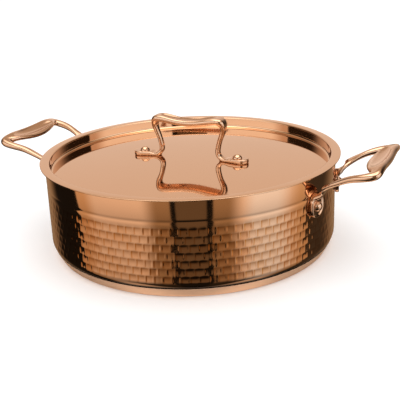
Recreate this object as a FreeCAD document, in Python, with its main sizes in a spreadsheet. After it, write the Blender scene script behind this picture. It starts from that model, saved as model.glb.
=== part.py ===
import FreeCAD, Part
import math
import os

import Sketcher
from FreeCAD import Placement, Rotation, Vector

# Lidded braiser: a shallow straight-sided pan with two riveted loop handles and an inset lid.
# Millimetres, +Z up. The origin is the middle of the base on the surface it stands on,
# and +X points along the right-hand loop handle.

doc = FreeCAD.newDocument("lidded_braiser")
sheet = doc.addObject("Spreadsheet::Sheet", "sizes")

POT_SIZES = {
    "pot_outer_radius": 142.7,
    "rim_height": 91.5,
    "shell_wall": 1.5,
    "liner_wall": 1.0,
    "ply_gap": 0.12,
    "floor_height": 6.5,
    "corner_radius": 10.0,
    "crease_drop": 20.0,
    "crease_depth": 0.5,
    "crease_width": 2.4,
}
BASE_SIZES = {
    "cap_foot_inset": 6.9,
    "cap_rim_inset": 1.9,
    "cap_rim_height": 9.4,
    "cap_sheet": 0.8,
    "cap_round": 1.5,
    "core_gap": 0.1,
}
LID_SIZES = {
    "flange_overhang": 4.8,
    "lid_sheet": 1.0,
    "lid_clearance": 0.9,
    "recess_depth": 10.8,
    "disc_rise": 3.4,
    "flange_bend": 0.6,
    "recess_fillet": 3.0,
    "flange_edge_round": 0.35,
}
RIVET_SIZES = {
    "rivet_half_spacing": 36.2,
    "rivet_drop": 29.0,
    "lid_rivet_reach": 50.5,
    "rivet_head_radius": 5.0,
    "rivet_head_height": 4.0,
    "rivet_shank_radius": 3.0,
    "rivet_tail_radius": 5.0,
    "rivet_tail_height": 1.6,
    "hole_clearance": 0.1,
    "seat_gap": 0.1,
}
TAB_SIZES = {
    "tab_thickness": 4.0,
    "tab_half_width": 9.9,
    "tab_foot_drop": 39.7,
    "tab_top_drop": 16.0,
    "tab_edge_round": 0.8,
    "tab_rim_width": 2.2,
    "tab_field_depth": 1.0,
    "foot_thickness": 3.0,
    "foot_half_width": 7.5,
    "foot_toe": 11.5,
    "foot_heel": 14.5,
    "foot_heel_half_width": 4.4,
    "foot_edge_round": 0.6,
}

# Stations of one half of the side handle, from its tab to the middle of the grip.
# out is measured from the pot's wall, side from the handle's middle, up from the rim, and
# turn is the heading in plan. Each section is a bead of radius bead on the outer side and a
# finer edge of radius edge on the inner side, web apart, with the edge lower by drop.
SIDE_STATIONS = {
    "root": dict(out=-2.2, side=36.3, up=-20.0, turn=12, bead=2.7, edge=2.7, web=11.0, drop=0.0),
    "rise": dict(out=4.3, side=37.5, up=-12.4, turn=16, bead=2.7, edge=2.7, web=7.0, drop=0.0),
    "arm": dict(out=15.3, side=41.2, up=-4.6, turn=17, bead=2.7, edge=2.7, web=3.2, drop=0.0),
    "reach": dict(out=28.3, side=44.3, up=1.4, turn=12, bead=3.2, edge=3.2, web=1.4, drop=0.0),
    "elbow": dict(out=40.3, side=46.2, up=4.5, turn=3, bead=3.6, edge=3.6, web=1.2, drop=0.0),
    "horn": dict(out=48.2, side=43.5, up=6.9, turn=-47, bead=3.8, edge=3.5, web=4.1, drop=0.2),
    "shoulder": dict(out=47.9, side=36.0, up=8.4, turn=-82, bead=3.7, edge=2.9, web=7.0, drop=0.9),
    "flare": dict(out=45.0, side=19.5, up=7.8, turn=-89, bead=3.8, edge=2.3, web=12.8, drop=2.5),
}
SIDE_MIDDLE = dict(out=43.9, side=0.0, up=6.8, turn=-90, bead=3.8, edge=2.0, web=15.8, drop=3.2)

# Stations of one half of the lid's handle, from its foot to the middle of the grip.
# inset is measured from the rivet towards the lid's centre, up from the crown of its disc, and
# turn is the heading in the handle's upright plane, where 0 is straight up and -90 is inwards.
LID_STATIONS = {
    "sole": dict(inset=9.5, up=1.2, turn=-90, bead=1.1, web=8.0),
    "heel": dict(inset=14.7, up=1.9, turn=-80, bead=1.6, web=6.0),
    "ankle": dict(inset=19.7, up=6.2, turn=-18, bead=2.3, web=2.6),
    "shin": dict(inset=19.3, up=13.7, turn=8, bead=2.4, web=1.8),
    "knee": dict(inset=16.5, up=22.9, turn=16, bead=2.4, web=2.0),
    "neck": dict(inset=13.6, up=31.9, turn=12, bead=2.7, web=4.2),
    "crown": dict(inset=15.5, up=38.0, turn=-45, bead=3.5, web=7.4),
    "strap": dict(inset=23.5, up=39.1, turn=-94, bead=3.5, web=9.2),
    "saddle": dict(inset=37.0, up=37.1, turn=-97, bead=3.2, web=9.8),
}
LID_MIDDLE = dict(up=36.1, turn=-90, bead=3.1, web=10.0)

# Ellipsoids that hollow the tops of the grips, with the depth that each leaves in the middle.
DISH_SIZES = {
    "side_dish_depth": 1.8,
    "side_dish_height": 5.3,
    "side_dish_half_width": 8.3,
    "side_dish_half_length": 36.0,
    "side_dish_tilt": 12.0,
    "lid_dish_depth": 1.3,
    "lid_dish_height": 10.2,
    "lid_dish_half_width": 11.5,
    "lid_dish_half_length": 36.0,
}


def fill_sheet():
    """Put every driving size in the sheet, under an alias of its own name."""
    cells = {}
    for group in (POT_SIZES, BASE_SIZES, LID_SIZES, RIVET_SIZES, TAB_SIZES, DISH_SIZES):
        cells.update(group)
    stations = {f"side_{name}": sizes for name, sizes in SIDE_STATIONS.items()}
    stations["side_middle"] = SIDE_MIDDLE
    stations.update({f"lid_{name}": sizes for name, sizes in LID_STATIONS.items()})
    stations["lid_middle"] = LID_MIDDLE
    for station, sizes in stations.items():
        cells.update({f"{station}_{key}": value for key, value in sizes.items()})
    for row, (name, value) in enumerate(cells.items(), start=1):
        sheet.set(f"A{row}", name)
        sheet.set(f"B{row}", str(value))
        sheet.setAlias(f"B{row}", name)
    doc.recompute()


def size(name):
    """The expression that reads one cell of the sheet."""
    return f"sizes.{name}"


def value(expression):
    """The plain number that an expression gives now."""
    return float(sheet.evalExpression(expression))


# Sizes that follow from the driving ones, as expressions.
POT_RADIUS = size("pot_outer_radius")
RIM = size("rim_height")
SHELL_INNER = f"({POT_RADIUS} - sizes.shell_wall)"
LINER_OUTER = f"({SHELL_INNER} - sizes.ply_gap)"
LINER_INNER = f"({LINER_OUTER} - sizes.liner_wall)"
SHELL_FLOOR = f"({size('floor_height')} + sizes.shell_wall)"
LINER_UNDERSIDE = f"({SHELL_FLOOR} + sizes.ply_gap)"
LINER_FLOOR = f"({LINER_UNDERSIDE} + sizes.liner_wall)"
SHELL_INNER_CORNER = f"({size('corner_radius')} - sizes.shell_wall)"
LINER_OUTER_CORNER = f"({SHELL_INNER_CORNER} - sizes.ply_gap)"
LINER_INNER_CORNER = f"({LINER_OUTER_CORNER} - sizes.liner_wall)"
CREASE = f"({RIM} - sizes.crease_drop)"
CAP_FOOT = f"({POT_RADIUS} - sizes.cap_foot_inset)"
CAP_RIM = f"({POT_RADIUS} - sizes.cap_rim_inset)"
CAP_SLOPE = f"(({CAP_RIM} - {CAP_FOOT}) / sizes.cap_rim_height)"
FLANGE_TOP = f"({RIM} + sizes.lid_sheet)"
FLANGE_RADIUS = f"({POT_RADIUS} + sizes.flange_overhang)"
PLUG_OUTER = f"({LINER_INNER} - sizes.lid_clearance)"
PLUG_INNER = f"({PLUG_OUTER} - sizes.lid_sheet)"
DISC_EDGE = f"({FLANGE_TOP} - sizes.recess_depth)"
DISC_CROWN = f"({DISC_EDGE} + sizes.disc_rise)"
DOME_RADIUS = f"(({PLUG_INNER} ^ 2 + sizes.disc_rise ^ 2) / (2 * sizes.disc_rise))"
DOME_CENTRE = f"({DISC_CROWN} - {DOME_RADIUS})"
RIVET_HEIGHT = f"({RIM} - sizes.rivet_drop)"
RIVET_ANGLE = f"asin({size('rivet_half_spacing')} / {POT_RADIUS})"
TAB_FACE = f"({POT_RADIUS} + sizes.tab_thickness)"
TAB_FIELD = f"({TAB_FACE} - sizes.tab_field_depth)"
HOLE_RADIUS = f"({size('rivet_shank_radius')} + sizes.hole_clearance)"


def dome_height(reach):
    """Height of the top of the lid's disc at a distance from its centre, as expressions."""
    return f"({DOME_CENTRE} + sqrt({DOME_RADIUS} ^ 2 - ({reach}) ^ 2))"


FOOT_END = "(sizes.lid_rivet_reach + sizes.foot_toe)"
FOOT_HEEL = "(sizes.lid_rivet_reach - sizes.foot_heel)"
FOOT_TOP = f"({dome_height(size('lid_rivet_reach'))} + sizes.foot_thickness)"


def new_body(label):
    """An empty body whose label names its file."""
    body = doc.addObject("PartDesign::Body", label)
    body.Label = label
    return body


def origin_plane(body, role):
    """One of a body's own origin planes, by its role."""
    return next(item for item in body.Origin.OriginFeatures if item.Role == role)


def new_sketch(body, name, role):
    """A sketch on one of the body's origin planes."""
    sketch = body.newObject("Sketcher::SketchObject", name)
    sketch.AttachmentSupport = [(origin_plane(body, role), "")]
    sketch.MapMode = "FlatFace"
    return sketch


def bind_distance(sketch, kind, vertex, expression):
    """Hold a vertex at a distance from the sketch's origin that an expression gives."""
    geometry, end = vertex
    index = sketch.addConstraint(Sketcher.Constraint(kind, -1, 1, geometry, end, value(expression)))
    sketch.setExpression(f"Constraints[{index}]", expression)


def bind_radius(sketch, geometry, expression):
    """Hold the radius of a circle or arc at what an expression gives."""
    index = sketch.addConstraint(Sketcher.Constraint("Radius", geometry, value(expression)))
    sketch.setExpression(f"Constraints[{index}]", expression)


def pin_vertex(sketch, vertex, across, along):
    """Fix a vertex by two expressions; a plain "0" puts it on the axis."""
    geometry, end = vertex
    if across == "0":
        sketch.addConstraint(Sketcher.Constraint("PointOnObject", geometry, end, -2))
    else:
        bind_distance(sketch, "DistanceX", vertex, across)
    if along == "0":
        sketch.addConstraint(Sketcher.Constraint("PointOnObject", geometry, end, -1))
    else:
        bind_distance(sketch, "DistanceY", vertex, along)


def dome_arc(lower, upper):
    """The arc from lower to upper, anticlockwise, whose centre lies on the axis of revolution."""
    rise = upper.y - lower.y
    centre_height = lower.y + (rise ** 2 + upper.x ** 2 - lower.x ** 2) / (2 * rise)
    centre = Vector(0, centre_height, 0)
    circle = Part.Circle(centre, Vector(0, 0, 1), (lower - centre).Length)
    first = math.atan2(lower.y - centre.y, lower.x - centre.x)
    last = math.atan2(upper.y - centre.y, upper.x - centre.x)
    return Part.ArcOfCircle(circle, first, last)


def outline(body, name, role, points, domes=()):
    """A closed outline through points given as pairs of expressions.

    The side that starts at a point listed in domes is an arc centred on the axis."""
    sketch = new_sketch(body, name, role)
    corners = [Vector(value(across), value(along), 0) for across, along in points]
    count = len(corners)
    ends = []
    for index, corner in enumerate(corners):
        following = corners[(index + 1) % count]
        falls = following.y < corner.y
        if index not in domes:
            sketch.addGeometry(Part.LineSegment(corner, following))
            ends.append((1, 2))
            continue
        sketch.addGeometry(dome_arc(following, corner) if falls else dome_arc(corner, following))
        sketch.addConstraint(Sketcher.Constraint("PointOnObject", index, 3, -2))
        ends.append((2, 1) if falls else (1, 2))
    for index, (_, last) in enumerate(ends):
        after = (index + 1) % count
        sketch.addConstraint(Sketcher.Constraint("Coincident", index, last, after, ends[after][0]))
    for index, (across, along) in enumerate(points):
        pin_vertex(sketch, (index, ends[index][0]), across, along)
    return sketch


def revolve(body, sketch):
    """Turn an outline a full turn about the upright axis of its sketch."""
    turned = body.newObject("PartDesign::Revolution", f"{sketch.Name}_turned")
    turned.Profile = sketch
    turned.ReferenceAxis = (sketch, ["V_Axis"])
    turned.Angle = 360
    sketch.Visibility = False
    doc.recompute()
    return turned


def ring_edges(shape, radius, height):
    """Names of the circular edges of a given radius that lie level at a given height."""
    names = []
    for index, edge in enumerate(shape.Edges, start=1):
        if edge.Degenerated or not isinstance(edge.Curve, Part.Circle):
            continue
        same_radius = abs(edge.Curve.Radius - radius) < 1e-4
        same_height = abs(edge.Curve.Center.z - height) < 1e-4
        if same_radius and same_height:
            names.append(f"Edge{index}")
    return names


def round_ring(body, name, radius, height, fillet_radius):
    """Fillet the level circular edge at a radius and height given as expressions."""
    base = body.Tip
    edges = ring_edges(base.Shape, value(radius), value(height))
    if not edges:
        raise RuntimeError(f"no edge to round for {name}")
    fillet = body.newObject("PartDesign::Fillet", name)
    fillet.Base = (base, edges)
    fillet.setExpression("Radius", fillet_radius)
    doc.recompute()


def cut_through(body, sketch):
    """Cut a sketch through the whole body, both ways, and make sure that it took material."""
    before = body.Shape.Volume
    pocket = body.newObject("PartDesign::Pocket", f"{sketch.Name}_cut")
    pocket.Profile = sketch
    pocket.Type = "ThroughAll"
    pocket.SideType = "Symmetric"
    sketch.Visibility = False
    doc.recompute()
    if body.Shape.Volume > before - 1e-3:
        raise RuntimeError(f"{pocket.Name} cut nothing")


def circle_sketch(body, name, role, radius, across="0", along="0"):
    """A sketch that holds one circle, placed by two expressions."""
    sketch = new_sketch(body, name, role)
    centre = Vector(value(across), value(along), 0)
    sketch.addGeometry(Part.Circle(centre, Vector(0, 0, 1), value(radius)))
    pin_vertex(sketch, (0, 3), across, along)
    bind_radius(sketch, 0, radius)
    return sketch


def face_rivet(sketch, side, out="0"):
    """Turn a sketch on the YZ plane to face along the rivets on one side of the handle's axis.

    out is its distance from the pot's axis, as an expression."""
    sketch.AttachmentOffset = Placement(Vector(), Rotation(Vector(0, 1, 0), 0))
    sketch.setExpression("AttachmentOffset.Base.x", f"{side} * {out} * sin({RIVET_ANGLE})")
    sketch.setExpression("AttachmentOffset.Base.z", f"{out} * cos({RIVET_ANGLE})")
    sketch.setExpression("AttachmentOffset.Rotation.Angle", f"{side} * {RIVET_ANGLE}")


def wall_rivet_holes(body):
    """Drill the wall rivets' holes; one pass goes through both handles' sides of the pot."""
    for side, word in ((1, "back"), (-1, "front")):
        sketch = circle_sketch(body, f"{word}_hole", "YZ_Plane", HOLE_RADIUS, "0", RIVET_HEIGHT)
        face_rivet(sketch, side)
        cut_through(body, sketch)


def make_pot_shell():
    """The copper outside of the pot: one deep-drawn wall and floor with a crease under the rim."""
    body = new_body("pot_shell")
    half_crease = "(sizes.crease_width / 2)"
    crease_floor = f"({POT_RADIUS} - sizes.crease_depth)"
    profile = outline(body, "shell_profile", "XZ_Plane", [
        ("0", size("floor_height")),
        (POT_RADIUS, size("floor_height")),
        (POT_RADIUS, f"{CREASE} - {half_crease}"),
        (crease_floor, CREASE),
        (POT_RADIUS, f"{CREASE} + {half_crease}"),
        (POT_RADIUS, RIM),
        (SHELL_INNER, RIM),
        (SHELL_INNER, SHELL_FLOOR),
        ("0", SHELL_FLOOR),
    ])
    revolve(body, profile)
    round_ring(body, "outer_corner", POT_RADIUS, size("floor_height"), size("corner_radius"))
    round_ring(body, "inner_corner", SHELL_INNER, SHELL_FLOOR, SHELL_INNER_CORNER)
    wall_rivet_holes(body)
    return body


def make_inner_liner():
    """The steel cooking surface that lines the shell."""
    body = new_body("inner_liner")
    profile = outline(body, "liner_profile", "XZ_Plane", [
        ("0", LINER_UNDERSIDE),
        (LINER_OUTER, LINER_UNDERSIDE),
        (LINER_OUTER, RIM),
        (LINER_INNER, RIM),
        (LINER_INNER, LINER_FLOOR),
        ("0", LINER_FLOOR),
    ])
    revolve(body, profile)
    round_ring(body, "outer_corner", LINER_OUTER, LINER_UNDERSIDE, LINER_OUTER_CORNER)
    round_ring(body, "inner_corner", LINER_INNER, LINER_FLOOR, LINER_INNER_CORNER)
    wall_rivet_holes(body)
    return body


def cap_inside(height):
    """Radius of the base cap's inner wall at a height given as an expression."""
    return f"({CAP_FOOT} + {CAP_SLOPE} * ({height}) - sizes.cap_sheet)"


def make_base_core():
    """The aluminium disc that spreads heat under the floor, sealed inside the base cap."""
    body = new_body("base_core")
    bottom = "(sizes.cap_sheet + sizes.core_gap)"
    top = "(sizes.floor_height - sizes.core_gap)"
    clear = "(sizes.cap_round + sizes.core_gap)"
    profile = outline(body, "core_profile", "XZ_Plane", [
        ("0", bottom),
        (f"{cap_inside(bottom)} - {clear}", bottom),
        (f"{cap_inside(top)} - {clear}", top),
        ("0", top),
    ])
    revolve(body, profile)
    return body


def make_base_cap():
    """The pressed cup that closes the base: a flat foot and a flared rim against the shell."""
    body = new_body("base_cap")
    profile = outline(body, "cap_profile", "XZ_Plane", [
        ("0", "0"),
        (CAP_FOOT, "0"),
        (CAP_RIM, size("cap_rim_height")),
        (f"{CAP_RIM} - sizes.cap_sheet", size("cap_rim_height")),
        (cap_inside(size("cap_sheet")), size("cap_sheet")),
        ("0", size("cap_sheet")),
    ])
    revolve(body, profile)
    round_ring(body, "foot_round", CAP_FOOT, "0", size("cap_round"))
    return body


def make_lid_pan():
    """The lid: a flat flange that sits on the rim, and a low dome sunk in the pot's mouth."""
    body = new_body("lid_pan")
    edge_underside = f"({DISC_EDGE} - sizes.lid_sheet)"
    profile = outline(body, "lid_profile", "XZ_Plane", [
        ("0", f"{DISC_CROWN} - sizes.lid_sheet"),
        (PLUG_OUTER, edge_underside),
        (PLUG_OUTER, RIM),
        (FLANGE_RADIUS, RIM),
        (FLANGE_RADIUS, FLANGE_TOP),
        (PLUG_INNER, FLANGE_TOP),
        (PLUG_INNER, DISC_EDGE),
        ("0", DISC_CROWN),
    ], domes=(0, 6))
    revolve(body, profile)
    fillet = size("recess_fillet")
    bend = size("flange_bend")
    round_ring(body, "recess_outside", PLUG_OUTER, edge_underside, f"{fillet} + sizes.lid_sheet")
    round_ring(body, "recess_inside", PLUG_INNER, DISC_EDGE, fillet)
    round_ring(body, "bend_under", PLUG_OUTER, RIM, bend)
    round_ring(body, "bend_top", PLUG_INNER, FLANGE_TOP, f"{bend} + sizes.lid_sheet")
    round_ring(body, "edge_under", FLANGE_RADIUS, RIM, size("flange_edge_round"))
    round_ring(body, "edge_top", FLANGE_RADIUS, FLANGE_TOP, size("flange_edge_round"))
    lid_rivet_holes(body)
    return body


def lid_rivet_holes(body):
    """Drill the two holes that the lid handle's rivets pass through."""
    for side, word in ((1, "right"), (-1, "left")):
        name = f"{word}_hole"
        sketch = circle_sketch(body, name, "XY_Plane", HOLE_RADIUS, size("lid_rivet_reach"))
        if side < 0:
            sketch.AttachmentOffset = Placement(Vector(), Rotation(Vector(0, 0, 1), 180))
        cut_through(body, sketch)


def round_ended(body, name, role, outer, inner, bead, edge):
    """A closed outline of two round ends joined by tangents.

    outer and inner are the ends' centres as pairs of expressions, with radii bead and edge;
    without an inner centre, that end lies opposite the outer one about the sketch's origin."""
    sketch = new_sketch(body, name, role)
    outer_centre = Vector(value(outer[0]), value(outer[1]), 0)
    inner_centre = Vector(value(inner[0]), value(inner[1]), 0) if inner else -outer_centre
    along = outer_centre - inner_centre
    lean = math.atan2(along.y, along.x)
    spread = math.acos((value(edge) - value(bead)) / along.Length)
    up = Vector(0, 0, 1)
    outer_circle = Part.Circle(outer_centre, up, value(bead))
    inner_circle = Part.Circle(inner_centre, up, value(edge))
    outer_arc = Part.ArcOfCircle(outer_circle, lean - spread, lean + spread)
    inner_arc = Part.ArcOfCircle(inner_circle, lean + spread, lean + 2 * math.pi - spread)
    sketch.addGeometry(outer_arc)
    sketch.addGeometry(Part.LineSegment(outer_arc.EndPoint, inner_arc.StartPoint))
    sketch.addGeometry(inner_arc)
    sketch.addGeometry(Part.LineSegment(inner_arc.EndPoint, outer_arc.StartPoint))
    for index in range(4):
        sketch.addConstraint(Sketcher.Constraint("Tangent", index, 2, (index + 1) % 4, 1))
    bind_radius(sketch, 0, bead)
    bind_radius(sketch, 2, edge)
    pin_vertex(sketch, (0, 3), *outer)
    if inner:
        pin_vertex(sketch, (2, 3), *inner)
    else:
        sketch.addConstraint(Sketcher.Constraint("Symmetric", 0, 3, 2, 3, -1, 1))
    return sketch


def place_section(sketch, base, axis, turn):
    """Move a section to its station and turn it about one axis of its sketch."""
    sketch.AttachmentOffset = Placement(Vector(), Rotation(axis, 1))
    for letter, expression in zip("xyz", base):
        sketch.setExpression(f"AttachmentOffset.Base.{letter}", expression)
    sketch.setExpression("AttachmentOffset.Rotation.Angle", turn)


def side_section(body, station, half):
    """One section of the side handle; half is 1 on the +Y half and -1 on the other."""
    cell = f"sizes.side_{station}"
    word = "back" if half > 0 else "front"
    drop = f"{cell}_drop / 2" if value(f"{cell}_drop") else "0"
    sketch = round_ended(body, f"{station}_{word}", "YZ_Plane", (f"{cell}_web / 2", drop), None,
                         f"{cell}_bead", f"{cell}_edge")
    base = (f"{half} * {cell}_side", f"{RIM} + {cell}_up", f"{POT_RADIUS} + {cell}_out")
    heading = f"{cell}_turn" if half > 0 else f"-180 - {cell}_turn"
    place_section(sketch, base, Vector(0, 1, 0), heading)
    return sketch


def lid_section(body, station, half):
    """One section of the lid's handle; half is 1 on the +X half and -1 on the other."""
    cell = f"sizes.lid_{station}"
    word = "right" if half > 0 else "left"
    bead = f"{cell}_bead"
    sketch = round_ended(body, f"{station}_{word}", "YZ_Plane", (f"{cell}_web / 2", "0"), None,
                         bead, bead)
    out = "0" if station == "middle" else f"{half} * (sizes.lid_rivet_reach - {cell}_inset)"
    base = ("0", f"{DISC_CROWN} + {cell}_up", out)
    heading = f"{cell}_turn - 90" if half > 0 else f"-270 - {cell}_turn"
    place_section(sketch, base, Vector(1, 0, 0), heading)
    return sketch


def loft_loop(body, name, stations, section):
    """One smooth loop through its stations, up one half to the middle and down the other."""
    sections = [section(body, station, 1) for station in stations]
    sections.append(section(body, "middle", 1))
    sections.extend(section(body, station, -1) for station in reversed(list(stations)))
    lofted = body.newObject("PartDesign::AdditiveLoft", name)
    lofted.Profile = sections[0]
    lofted.Sections = sections[1:]
    for sketch in sections:
        sketch.Visibility = False
    doc.recompute()


def dish(body, name, base, tilt, radii):
    """Hollow the top of a grip with a long ellipsoid, and make sure that it took material."""
    before = body.Shape.Volume
    hollow = body.newObject("PartDesign::SubtractiveEllipsoid", name)
    hollow.AttachmentSupport = [(origin_plane(body, "XY_Plane"), "")]
    hollow.MapMode = "FlatFace"
    hollow.AttachmentOffset = Placement(Vector(), Rotation(Vector(0, -1, 0), 1))
    for letter, expression in zip("xyz", base):
        hollow.setExpression(f"AttachmentOffset.Base.{letter}", expression)
    hollow.setExpression("AttachmentOffset.Rotation.Angle", tilt)
    for index, expression in enumerate(radii, start=1):
        hollow.setExpression(f"Radius{index}", expression)
    doc.recompute()
    if body.Shape.Volume > before - 1e-3:
        raise RuntimeError(f"{name} cut nothing")


def pad(body, sketch, length):
    """Raise a sketch along its normal by a length given as an expression."""
    raised = body.newObject("PartDesign::Pad", f"{sketch.Name}_pad")
    raised.Profile = sketch
    raised.setExpression("Length", length)
    sketch.Visibility = False
    doc.recompute()


def round_face(body, name, normal, distance, fillet_radius):
    """Fillet the edges that lie in the plane at a distance along a normal."""
    base = body.Tip
    edges = []
    for index, edge in enumerate(base.Shape.Edges, start=1):
        spots = [vertex.Point for vertex in edge.Vertexes]
        spots.append(edge.valueAt((edge.FirstParameter + edge.LastParameter) / 2))
        if all(abs(spot.dot(normal) - distance) < 1e-4 for spot in spots):
            edges.append(f"Edge{index}")
    fillet = body.newObject("PartDesign::Fillet", name)
    fillet.Base = (base, edges)
    fillet.setExpression("Radius", fillet_radius)
    doc.recompute()


def wall_tabs(body):
    """The two tabs of a side handle: backs that follow the wall, and faces sunk inside a rim."""
    sides = ((1, "back"), (-1, "front"))
    half_width = size("tab_half_width")
    foot = f"{RIM} - sizes.tab_foot_drop + {half_width}"
    top = f"{RIM} - sizes.tab_top_drop - {half_width}"
    for side, word in sides:
        sketch = round_ended(body, f"{word}_tab", "YZ_Plane", ("0", top), ("0", foot),
                             half_width, half_width)
        face_rivet(sketch, side)
        pad(body, sketch, TAB_FACE)
    seat = circle_sketch(body, "wall_seat", "XY_Plane", f"{POT_RADIUS} + sizes.seat_gap")
    cut_through(body, seat)
    angle = math.radians(value(RIVET_ANGLE))
    for side, word in sides:
        normal = Vector(math.cos(angle), side * math.sin(angle), 0)
        round_face(body, f"{word}_tab_edge", normal, value(TAB_FACE), size("tab_edge_round"))
        field_half_width = f"{half_width} - sizes.tab_rim_width"
        field = round_ended(body, f"{word}_field", "YZ_Plane", ("0", top), ("0", foot),
                            field_half_width, field_half_width)
        face_rivet(field, side, TAB_FIELD)
        sink = body.newObject("PartDesign::Pocket", f"{word}_field_sink")
        sink.Profile = field
        sink.Reversed = True
        sink.setExpression("Length", size("tab_field_depth"))
        field.Visibility = False
        doc.recompute()


def make_side_handle(label, turn):
    """A cast loop handle: two tabs on the wall, two arms, and a grip with a hollowed web."""
    body = new_body(label)
    wall_tabs(body)
    loft_loop(body, "loop", SIDE_STATIONS, side_section)
    web_top = "sizes.side_middle_up + (sizes.side_middle_bead + sizes.side_middle_edge) / 2"
    lift = "sizes.side_dish_height - sizes.side_dish_depth"
    base = (f"{POT_RADIUS} + sizes.side_middle_out", "0", f"{RIM} + {web_top} + {lift}")
    radii = (size("side_dish_height"), size("side_dish_half_width"), size("side_dish_half_length"))
    dish(body, "web_dish", base, size("side_dish_tilt"), radii)
    wall_rivet_holes(body)
    body.Placement = Placement(Vector(), Rotation(Vector(0, 0, 1), turn))
    return body


def lid_feet(body):
    """The two flat feet of the lid's handle, wide round the rivet and narrow at the heel."""
    bead = size("foot_half_width")
    edge = size("foot_heel_half_width")
    end = f"{FOOT_END} - {bead}"
    lowest = dome_height(FOOT_END)
    for turn, word in ((0, "right"), (180, "left")):
        sketch = round_ended(body, f"{word}_foot", "XY_Plane", (end, "0"), (FOOT_HEEL, "0"), bead, edge)
        sketch.AttachmentOffset = Placement(Vector(), Rotation(Vector(0, 0, 1), turn))
        sketch.setExpression("AttachmentOffset.Base.z", lowest)
        pad(body, sketch, f"{FOOT_TOP} - {lowest}")
    round_face(body, "feet_edge", Vector(0, 0, 1), value(FOOT_TOP), size("foot_edge_round"))


def seat_on_dome(body):
    """Hollow the feet's undersides to the lid's dome, and make sure that it took material."""
    before = body.Shape.Volume
    dome = body.newObject("PartDesign::SubtractiveSphere", "dome_seat")
    dome.AttachmentSupport = [(origin_plane(body, "XY_Plane"), "")]
    dome.MapMode = "FlatFace"
    dome.setExpression("AttachmentOffset.Base.z", DOME_CENTRE)
    dome.setExpression("Radius", f"{DOME_RADIUS} + sizes.seat_gap")
    doc.recompute()
    if body.Shape.Volume > before - 1e-3:
        raise RuntimeError("the feet do not reach the dome")


def make_lid_handle():
    """A cast strap handle that stands on two riveted feet, with a hollowed saddle to grip."""
    body = new_body("lid_handle")
    lid_feet(body)
    loft_loop(body, "loop", LID_STATIONS, lid_section)
    seat_on_dome(body)
    saddle_top = "sizes.lid_middle_up + sizes.lid_middle_bead"
    lift = "sizes.lid_dish_height - sizes.lid_dish_depth"
    radii = (size("lid_dish_height"), size("lid_dish_half_length"), size("lid_dish_half_width"))
    dish(body, "saddle_dish", ("0", "0", f"{DISC_CROWN} + {saddle_top} + {lift}"), "0", radii)
    lid_rivet_holes(body)
    return body


def make_rivet(label, grip, base, turn):
    """A rivet along its own +Z: a flat dome inside, a shank as long as grip, a round head."""
    body = new_body(label)
    tail = size("rivet_tail_height")
    seat = f"({tail} + {grip})"
    profile = outline(body, "rivet_profile", "XZ_Plane", [
        ("0", "0"),
        (size("rivet_tail_radius"), tail),
        (size("rivet_shank_radius"), tail),
        (size("rivet_shank_radius"), seat),
        (size("rivet_head_radius"), seat),
        ("0", f"{seat} + sizes.rivet_head_height"),
    ], domes=(0, 4))
    revolve(body, profile)
    body.Placement = Placement(Vector(), turn)
    for letter, expression in zip("xyz", base):
        body.setExpression(f"Placement.Base.{letter}", expression)
    return body


def make_wall_rivets():
    """The four rivets that hold the two side handles, pointing straight out of the wall."""
    tail_seat = f"({LINER_INNER} - sizes.seat_gap - sizes.rivet_tail_radius ^ 2 / (2 * {LINER_INNER}))"
    start = f"({tail_seat} - sizes.rivet_tail_height)"
    grip = f"({TAB_FIELD} - {tail_seat})"
    outwards = Rotation(Vector(0, 1, 0), 90)
    rivets = []
    for word, half_turn, back in (("right", 0, 1), ("left", 180, -1)):
        for place, side in (("back", back), ("front", -back)):
            bearing = f"({half_turn} deg + {side} * {RIVET_ANGLE})"
            base = (f"{start} * cos({bearing})", f"{start} * sin({bearing})", RIVET_HEIGHT)
            angle = half_turn + side * value(RIVET_ANGLE)
            turn = Rotation(Vector(0, 0, 1), angle) * outwards
            rivets.append(make_rivet(f"{word}_handle_{place}_rivet", grip, base, turn))
    return rivets


def make_lid_rivets():
    """The two upright rivets that hold the lid's handle."""
    lowest = dome_height("sizes.lid_rivet_reach + sizes.rivet_tail_radius")
    tail_seat = f"({lowest} - sizes.lid_sheet - sizes.seat_gap)"
    grip = f"({FOOT_TOP} - {tail_seat})"
    rivets = []
    for word, side in (("right", 1), ("left", -1)):
        base = (f"{side} * sizes.lid_rivet_reach", "0", f"{tail_seat} - sizes.rivet_tail_height")
        rivets.append(make_rivet(f"lid_{word}_rivet", grip, base, Rotation()))
    return rivets


def main():
    fill_sheet()
    parts = [
        make_pot_shell(),
        make_inner_liner(),
        make_base_core(),
        make_base_cap(),
        make_lid_pan(),
        make_lid_handle(),
        make_side_handle("right_handle", 0),
        make_side_handle("left_handle", 180),
        *make_wall_rivets(),
        *make_lid_rivets(),
    ]
    doc.recompute()
    for item in doc.Objects:
        if "Invalid" in item.State or "Error" in item.State:
            raise RuntimeError(f"{item.Name} failed: {item.State}")
    for part in parts:
        if part.Shape.isNull() or not part.Shape.isValid():
            raise RuntimeError(f"{part.Label} has no valid shape")
    os.makedirs("parts", exist_ok=True)
    for part in parts:
        part.Shape.exportStep(f"parts/{part.Label}.step")
        box = part.Shape.BoundBox
        print(part.Label, len(part.Shape.Solids), round(part.Shape.Volume), box)


main()
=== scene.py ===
import math
import random

import bmesh
import bpy
from mathutils import Matrix, Quaternion, Vector


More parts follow.
